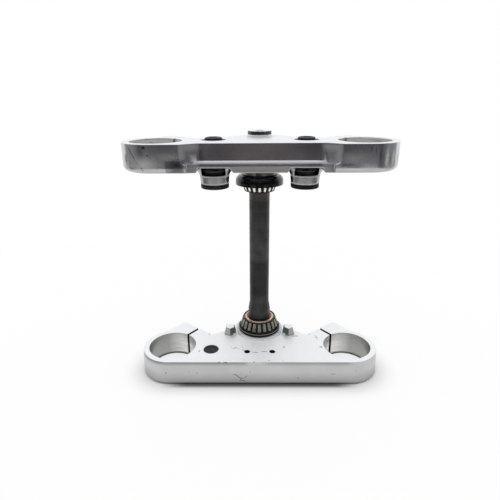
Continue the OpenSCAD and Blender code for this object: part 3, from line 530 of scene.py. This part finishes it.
# Painted light on the seat round the stem and on the stops' outer faces
LOWER_HAZE_AND_HIGHLIGHTS = [(0.85, [], [((-30.0, -32.0, 27.7), (30.0, 32.0, 29.8), 0.1),
                           ((-44.0, -70.0, 28.8), (-33.9, 40.0, 36.9), 0.3),
                           ((33.9, -70.0, 28.8), (44.0, 40.0, 36.9), 0.3)])]
UPPER_STAINS_AND_PAINTED_REFLECTIONS = [
    ("4a4a4c", 0.75, [((-101.0, -66.7, 247.0), 1.7, (1.4, 1, 0.9)),
                      ((-98.2, -66.9, 240.4), 1.0, (1, 1, 1.3)),
                      ((-119.6, -57.0, 236.0), 3.0, (1, 1, 2.6), 0.9)], []),
    # Painted shade: a dark reflection on the faces beside the middle
    ("8e8e91", 0.75, [], [((-66.0, -70.0, 234.5), (-52.0, -40.0, 243.5), 2.0),
                          ((54.0, -70.0, 234.5), (66.0, -40.0, 243.5), 2.0)]),
    # Painted dark reflections of the room on the left ring's front
    ("2e2e30", 0.5, [], [((-83.5, -70.0, 221.0), (-67.5, -60.0, 235.6), 0.9)]),
    ("262628", 0.6, [], [((-78.0, -70.0, 224.6), (-67.5, -60.0, 235.6), 3.0)]),
    # Painted dark reflections on the right ring's front and end
    ("59595c", 0.5, [((76.0, -67.0, 232.0), 2.6, (4.2, 1, 0.7), 0.9),
                     ((95.4, -67.0, 245.5), 1.0, (0.8, 1, 4.5), 0.8),
                     ((99.6, -66.9, 243.5), 1.1, (0.8, 1, 4.5), 0.8),
                     ((104.0, -66.2, 240.0), 1.4, (0.8, 1, 5.0), 0.9),
                     ((113.6, -62.0, 236.0), 1.2, (0.8, 0.8, 6.0), 0.8),
                     ((119.4, -57.4, 232.0), 1.6, (0.8, 0.8, 3.4), 0.9)], [])]
# Painted highlights and pale reflections on the rings, the faces beside the middle, the cups
# and the lip's lower edge
UPPER_HAZE_AND_HIGHLIGHTS = [
    (0.7, [((-103.0, -66.0, 231.5), 13.0, (1.5, 1, 0.95), 1.2, 0.5),
           ((-121.0, -56.0, 230.0), 9.0, (1, 1, 1.6), 1.2, 0.5)], []),
    (0.2, [((-80.0, -67.0, 238.5), 8.0, (2.0, 1, 0.8), 1.2, 0.3),
           ((-63.5, -58.0, 240.0), 9.0, (0.8, 1, 1.4), 1.0, 0.3),
           ((80.0, -67.0, 237.0), 10.0, (1.9, 1, 0.9), 1.2, 0.5)], []),
    (0.25, [], [((-70.5, -70.0, 226.0), (-55.0, -40.0, 249.0), 1.5),
                ((55.0, -70.0, 226.0), (70.5, -40.0, 249.0), 1.5)]),
    (0.38, [((-44.0, -40.0, 214.0), 11.0, (1, 1, 1), 1.0, 0.4),
            ((44.0, -40.0, 214.0), 11.0, (1, 1, 1), 1.0, 0.4)],
     [((-75.0, -70.0, 223.0), (75.0, -40.0, 230.0), 0.8)]),
    (0.7, [], [((-60.0, -70.0, 223.0), (60.0, -40.0, 225.0), 0.3)]),
    (0.95, [], [((-60.0, -60.0, 208.4), (60.0, 0.0, 209.8), 0.3),
                ((-60.0, -60.0, 215.9), (60.0, 0.0, 217.6), 0.3)]),
    (0.75, [((94.5, -67.0, 227.0), 9.0, (1.5, 1, 0.9), 1.2, 0.5),
            ((112.0, -62.5, 226.0), 8.0, (1.5, 1, 0.9), 1.0, 0.5),
            ((110.5, -64.0, 236.0), 3.4, (0.8, 0.8, 4.5), 1.0, 0.6),
            ((117.0, -60.0, 236.0), 3.0, (0.8, 0.8, 4.5), 1.0, 0.6),
            ((123.0, -53.0, 236.0), 3.0, (0.8, 0.8, 4.0), 1.0, 0.6)], [])]
UPPER_SCRATCHES = [
    ((-116.1, -60.5, 246.4), (-112.6, -62.9, 240.7), 0.55),
    ((-112.6, -62.9, 240.7), (-109.3, -64.5, 234.0), 0.45),
    ((-109.3, -64.5, 234.0), (-103.5, -65.6, 227.1), 0.65)]
UPPER_PITS = [(-101.6, -66.6, 247.6, 0.9), (-96.0, -67.0, 238.6, 0.7),
              (-104.5, -66.0, 229.5, 0.8), (61.5, -56.5, 229.5, 1.0)]

# Blasted cast alloy with a machined top, painted paler as if lit from above: a frosty
# pale grey with hardly a reflection
LOWER_ALLOY = clamp_aluminium(
    "blasted aluminium, lower clamp", LOWER_BORE_R, LOWER_TOP,
    {"top": "f7f9fb", "side": "c6c6c7", "cloud": "d2d2d3", "grain": "bfbfc0",
     "low": (0.0, 16.0, 0.9), "low_colour": "9c9c9d", "brow": 0.75,
     "bore": "efefed", "bore_shade": 0.7, "bore_metal": 0.95,
     "metal": (0.4, 0.6), "rough": (0.45, 0.34), "relief": 0.06, "painted_shade": 1.0},
    LOWER_HAZE_AND_HIGHLIGHTS, LOWER_STAINS_AND_PAINTED_LIGHT, LOWER_SCRATCHES, LOWER_PITS, 2.2)
# The same alloy rubbed bare by handling: its sides mirror the room, blurred, and its
# upward faces are painted paler as if lit from above
UPPER_ALLOY = clamp_aluminium(
    "rubbed bare aluminium, upper clamp", UPPER_BORE_R, UPPER_TOP,
    {"top": "f5f6f8", "side": "c9cacd", "cloud": "dadbdd", "grain": "b9babd",
     "low": (224.0, 231.0, 1.0), "low_colour": "a6a6a9", "brow": 0.0,
     "bore": "dededd", "bore_shade": 0.0, "bore_metal": 0.65,
     "metal": (0.8, 1.0), "rough": (0.4, 0.16), "relief": 0.03, "painted_shade": 0.3},
    UPPER_HAZE_AND_HIGHLIGHTS, UPPER_STAINS_AND_PAINTED_REFLECTIONS, UPPER_SCRATCHES, UPPER_PITS)
# Edges of bare metal are rubbed first, and draw a thin bright line round each face, partly
# a painted highlight
LOWER_EDGE = rubbed_and_highlit_edge("rubbed and highlit edge, lower clamp", ("e6e7e9", "c6c7c9"), 0.34, 2.4)
UPPER_EDGE = rubbed_and_highlit_edge("rubbed and highlit edge, upper clamp", ("fafafb", "e2e3e5"), 0.22)
# Turned steel: brown and dark on the oily stem, grey on the adjuster, and pale with a soft
# shine where it is zinc plated. The washer's dull plating scatters the light like paint
STEM = turned_steel("dark turned steel, stem", ("4c4b4b", "414040", "5a5858"), 0.42, 0.9,
                    12, [(74, 118, "2c2a2a", 0.65, 3), (186, 196, "6d6864", 0.5, 2)])
ADJUSTER = turned_steel("turned steel, adjuster", ("8d8788", "7c7778", "a39d9d"), 0.3)
BOLTS = turned_steel("zinc plated steel", ("c4c6c8", "b2b4b6", "d4d6d8"), 0.26, 0.5, 5)
HEAD_BOLT = knurled_head("plated steel, knurled head", 252.3, 255.6)
WASHER = turned_steel("zinc plated steel, washer", ("eaebed", "dfe0e2", "f2f2f3"), 0.3,
                      0.5, 5, metal=0.3)
# Ground steel: the races are browned by dried grease, and the rollers stay pale and bright.
# The upper rollers are a paler copy of the lower ones, a painted light
RACE = greasy_steel("greasy ground steel, races", "9c6a4c", "5c3a2a", 0.5, 0.25, 12.8,
                    "ecd9d2")
LOWER_ROLLERS = greasy_steel("greasy ground steel, lower rollers", "b9b8ae", "8f8d80",
                             0.35, 0.45)
UPPER_ROLLERS = greasy_steel("ground steel, upper rollers", "f2f2f0", "d6d4cc", 0.1, 0.3)
# Black oxide hides the metal of the cages. Enamel is the one black that shines
CAGE = black_part("blackened sheet steel, cages", "131313", "2c2926", 0.4, 0.6, 0.3)
COVER = black_part("black enamel, dust cover", "070708", "1c1c1e", 0.12, 0.8, 0.25, 0.5)
# Rubber is matt and holds dust. The pale stretches on the bushes and the seal are painted
# highlights, on the lower bushes the lit top of their heads
PLUG = black_part("black rubber, plug", "2e2f31", "3a3b3d", 0.55, 0.9, 0.4)
SEAL = black_part("black rubber, seal", "0e0e0f", "2c2b2a", 0.3, 0.7, 0.3,
                  line=(32.6, 33.0, "a4a4a8", 0.7))
UPPER_BUSH = black_part("black rubber, upper bushes", "121214", "3c3d40", 0.5, 0.9, 0.5,
                        line=(251.2, 252.4, "5a5b5f", 0.6))
LOWER_BUSH = black_part("black rubber, lower bushes", "141416", "4a4b4f", 0.5, 0.9, 0.5,
                        line=(220.7, 221.4, "8c8d91", 0.8))

for node, material in {
        "lower_clamp": LOWER_ALLOY, "upper_clamp": UPPER_ALLOY, "steering_stem": STEM,
        "stem_head_bolt": HEAD_BOLT, "stem_washer": WASHER, "adjuster_nut": ADJUSTER,
        "upper_dust_cover": COVER, "upper_inner_race": RACE, "upper_roller_cage": CAGE,
        "upper_rollers": UPPER_ROLLERS, "lower_inner_race": RACE,
        "lower_roller_cage": CAGE, "lower_rollers": LOWER_ROLLERS,
        "lower_dust_seal": SEAL, "bar_bush_upper_left": UPPER_BUSH,
        "bar_bush_upper_right": UPPER_BUSH, "bar_bush_lower_left": LOWER_BUSH,
        "bar_bush_lower_right": LOWER_BUSH, "lower_pinch_bolt_left": BOLTS,
        "lower_pinch_bolt_right": BOLTS, "upper_pinch_bolt_left": BOLTS,
        "upper_pinch_bolt_right": BOLTS, "hole_plug": PLUG}.items():
    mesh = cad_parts[node].data
    mesh.materials.clear()
    mesh.materials.append(material)


MERGE_MM, SHORT_MM = 0.02, 0.45          # points that are one, and edges too short to round
FLAT_DEG, CREASE_DEG = 0.4, 35           # faces merged below the one, shaded apart above
SHARP_DEG, STEEP_DEG, PINCH_DEG = 25, 60, 60
SEAT_R = 32.0                            # round the stem, where the edges stay crisp


def eased_copy(node, edge_material, width, foot=0.0):
    """A copy of a clamp whose sharp edges are broken by a small round, as a tumbled
    casting has them, and whose front foot is rounded more, by foot mm. It stands for the
    clamp."""
    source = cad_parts[node]
    mesh = source.data.copy()
    mesh.name = node + "_eased"
    piece = bpy.data.objects.new(node + "_eased", mesh)
    bpy.context.scene.collection.objects.link(piece)
    bm = bmesh.new()
    bm.from_mesh(mesh)
    bmesh.ops.remove_doubles(bm, verts=bm.verts, dist=MERGE_MM * MM)
    bmesh.ops.dissolve_limit(bm, angle_limit=math.radians(FLAT_DEG), verts=bm.verts,
                             edges=bm.edges, use_dissolve_boundaries=False)
    bmesh.ops.remove_doubles(bm, verts=bm.verts, dist=SHORT_MM * MM)
    if foot:             # its edge at z = 0, but at the back, round the bores and inside
        rim = [e for e in bm.edges if e.is_manifold
               and e.calc_face_angle() > math.radians(STEEP_DEG)
               and all(v.co.z < 0.1 * MM and v.co.y < FORK_Y * MM
                       and all(math.dist((s * FORK_X * MM, FORK_Y * MM), v.co.xy) > 30 * MM
                               for s in SIDES)
                       and (v.co.y < -60 * MM or abs(v.co.x) > FORK_X * MM)
                       for v in e.verts)]
        bmesh.ops.bevel(bm, geom=rim, offset=foot * MM, offset_type="OFFSET", segments=4,
                        profile=0.5, affect="EDGES", clamp_overlap=False, material=-1,
                        loop_slide=True)
    sharp = {e for e in bm.edges if e.is_manifold
             and e.calc_face_angle() > math.radians(SHARP_DEG)
             and any(v.co.xy.length >= SEAT_R * MM for v in e.verts)}
    pinched = set()          # edges that meet too narrowly for a round to end well
    for vert in bm.verts:
        fan = [e for e in vert.link_edges if e in sharp]
        for i, a in enumerate(fan):
            for b in fan[i + 1:]:
                one, other = (e.other_vert(vert).co - vert.co for e in (a, b))
                if one.angle(other) < math.radians(PINCH_DEG):
                    pinched.update((a, b))
    rounded = [e for e in bm.edges if e in sharp and e not in pinched]
    bmesh.ops.bevel(bm, geom=rounded, offset=width * MM, offset_type="OFFSET", segments=2,
                    profile=0.5, affect="EDGES", clamp_overlap=False, material=1,
                    loop_slide=True)
    bm.to_mesh(mesh)
    bm.free()
    mesh.shade_smooth()
    mesh.set_sharp_from_angle(angle=math.radians(CREASE_DEG))
    mesh.materials.clear()
    mesh.materials.append(source.data.materials[0])
    mesh.materials.append(edge_material)
    weighted = piece.modifiers.new("flat faces keep their shade", "WEIGHTED_NORMAL")
    weighted.keep_sharp = True
    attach(piece, "clamps_and_stem")
    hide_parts(node)


eased_copy("lower_clamp", LOWER_EDGE, 0.5, 3.4)
eased_copy("upper_clamp", UPPER_EDGE, 0.6)


# Studio: a pale floor, soft light from above and both sides, and dark surroundings in
# front, which only the gloss shows, as the bare metal does with the photograph's room
def stage_piece(name, bm, material):
    """A piece of the studio, which is no part of the object."""
    mesh = bpy.data.meshes.new(name)
    bm.to_mesh(mesh)
    bm.free()
    mesh.materials.append(material)
    piece = bpy.data.objects.new(name, mesh)
    bpy.context.scene.collection.objects.link(piece)
    return piece


# Floor: paper that takes the shadow, and further from the lower clamp's outline more and
# more a clear white for every ray that carries a picture. Along the clamp's straight front
# its colour darkens to a painted contact shadow, and inside the fork bores it glows white as
# a painted light. All of it is in metres
FLOOR = (-1.6, 1.6, -1.61, 0.39)         # its edges: left, right, front, back
CONTACT_SHADOW = (0.034, 0.04)                  # where the painted contact shadow in front ends
CLEARING = (0.034, 0.06)                 # where the white begins, and is fullest
FULLEST, BORE_LIGHT = 0.85, 0.75              # its share there, and inside the fork bores as a painted light
matt, tree, place = new_material("pale matt floor")
glow = add(tree, "Emission", {"Color": hex_colour("ffffff"), "Strength": 1.0})
axes = add(tree, "SeparateXYZ", [place]).outputs
beyond = add(tree, "Math", [axes["X"]], operation="ABSOLUTE")
beyond = add(tree, "Math", [beyond, FORK_X * MM], operation="SUBTRACT")
outer = add(tree, "Math", [beyond, 0.0], operation="MAXIMUM")
ahead = add(tree, "Math", [axes["Y"], FORK_Y * MM], operation="SUBTRACT")
away = add(tree, "VectorMath", [add(tree, "CombineXYZ", [outer, ahead])], operation="LENGTH")
# A painted contact shadow along the lower clamp's straight front
painted_contact_shadow = add(tree, "MapRange", [away, *CONTACT_SHADOW, 1.0, 0.0], interpolation_type="SMOOTHSTEP")
straight = add(tree, "MapRange", [beyond, -0.02, 0.012, 1.0, 0.0],
               interpolation_type="SMOOTHSTEP")
painted_contact_shadow = add(tree, "Math", [painted_contact_shadow, straight], operation="MULTIPLY")
tone = add(tree, "Mix", {0: painted_contact_shadow, 6: hex_colour("f7f7f7"), 7: hex_colour("6f6f70")},
           data_type="RGBA")
paper = add(tree, "BsdfPrincipled", {"Base Color": tone, "Roughness": 0.9})
clear = add(tree, "MapRange", [away, *CLEARING, 0.0, FULLEST],
            interpolation_type="SMOOTHSTEP")
# Painted light: inside the fork bores the floor glows white
painted_bore_light = largest(tree, [bored_wall(tree, place, s * FORK_X, FORK_Y, LOWER_BORE_R - 1)
                       for s in SIDES])
painted_bore_light = add(tree, "Math", [painted_bore_light, BORE_LIGHT], operation="MULTIPLY")
clear = add(tree, "Math", [clear, painted_bore_light], operation="MAXIMUM")
clear = add(tree, "Math", [clear, seen_rays(tree)], operation="MULTIPLY")
add(tree, "OutputMaterial", [add(tree, "MixShader", [clear, paper, glow])])
bm = bmesh.new()
bmesh.ops.create_grid(bm, x_segments=1, y_segments=1, size=0.5)
bmesh.ops.scale(bm, vec=(FLOOR[1] - FLOOR[0], FLOOR[3] - FLOOR[2], 1.0), verts=bm.verts)
bmesh.ops.translate(bm, vec=((FLOOR[0] + FLOOR[1]) / 2, (FLOOR[2] + FLOOR[3]) / 2, 0.0),
                    verts=bm.verts)
stage_piece("floor", bm, matt)

# Room: a round wall, dark in the middle, paler low down to both sides and at its far ends,
# and a strip of floor before it
ROOM_R, ROOM_TOP, ROOM_Y, STRIP_R = 0.7, 1.0, -0.05, 0.42
HALF_TURN, STRIP_Z = math.radians(105), 0.002
room, tree, place = new_material("dark room in front")
axes = add(tree, "SeparateXYZ", [place]).outputs
aside = add(tree, "Math", [axes["X"]], operation="ABSOLUTE")
middle = add(tree, "MapRange", [aside, 0.02, 0.15, 1.0, 0.0],
             interpolation_type="SMOOTHSTEP")
tone = add(tree, "Mix", {0: middle, 6: hex_colour("3e3d44"), 7: hex_colour("6c6462")},
           data_type="RGBA")
low = add(tree, "MapRange", [axes["Z"], 0.1, 0.17, 1.0, 0.0],
          interpolation_type="SMOOTHSTEP")
beside = add(tree, "MapRange", [aside, 0.16, 0.26], interpolation_type="SMOOTHSTEP")
nearby = add(tree, "MapRange", [aside, 0.45, 0.55, 1.0, 0.0],
             interpolation_type="SMOOTHSTEP")
beside = add(tree, "Math", [beside, nearby], operation="MULTIPLY")
pale = add(tree, "Math", [low, beside], operation="MULTIPLY")
far_side = add(tree, "MapRange", [aside, 0.5, 0.7, 0.0, 0.6],
               interpolation_type="SMOOTHSTEP")
pale = add(tree, "Math", [pale, far_side], operation="MAXIMUM")
tone = add(tree, "Mix", {0: pale, 6: tone, 7: hex_colour("b4b4b4")}, data_type="RGBA")
add(tree, "OutputMaterial", [add(tree, "Emission", {"Color": tone, "Strength": 1.0})])
bm = bmesh.new()
ends = [bm.verts.new((-reach * math.sin(HALF_TURN), ROOM_Y - reach * math.cos(HALF_TURN), z))
        for reach, z in ((STRIP_R, STRIP_Z), (ROOM_R, STRIP_Z), (ROOM_R, ROOM_TOP))]
for a, b in zip(ends, ends[1:]):
    bm.edges.new((a, b))
bmesh.ops.spin(bm, geom=list(bm.verts) + list(bm.edges), cent=(0.0, ROOM_Y, 0.0),
               axis=(0.0, 0.0, 1.0), dvec=(0.0, 0.0, 0.0), angle=2 * HALF_TURN, steps=42,
               use_merge=False, use_duplicate=False)
wall = stage_piece("dark_room", bm, room)
wall.visible_camera = False
wall.visible_diffuse = False
wall.visible_transmission = False
wall.visible_shadow = False

# Sky: white wherever it is seen, and weaker as a light
SKY_LIGHT = 0.62
world = bpy.data.worlds.new("studio")
bpy.context.scene.world = world
world.use_nodes = True
tree = world.node_tree
tree.nodes.clear()
strength = add(tree, "MapRange", [seen_rays(tree), 0.0, 1.0, SKY_LIGHT, 1.0])
sky = add(tree, "Background", {"Color": [1.0, 1.0, 1.0, 1.0], "Strength": strength})
add(tree, "OutputWorld", [sky])


AIM = Vector((0.0, 0.0, 0.12))           # the middle of the part, in metres


def area_light(name, place, size, power):
    """A soft lamp of so many metres by metres and watts, turned to the part."""
    lamp = bpy.data.lights.new(name, "AREA")
    lamp.shape = "RECTANGLE"
    lamp.size, lamp.size_y = size
    lamp.energy = power
    made = bpy.data.objects.new(name, lamp)
    bpy.context.scene.collection.objects.link(made)
    made.matrix_world = Matrix.Translation(place) @ (
        Vector(place) - AIM).to_track_quat("Z", "Y").to_matrix().to_4x4()
    return made


overhead = area_light("overhead", (0.0, 0.1, 2.2), (3.0, 3.0), 25.0)
overhead.visible_glossy = False          # so the bare tops show the white room, not a lamp
for name, side in (("left_side", -1), ("right_side", 1)):
    area_light(name, (side * 1.5, 0.1, 1.0), (0.8, 1.0), 3.0)
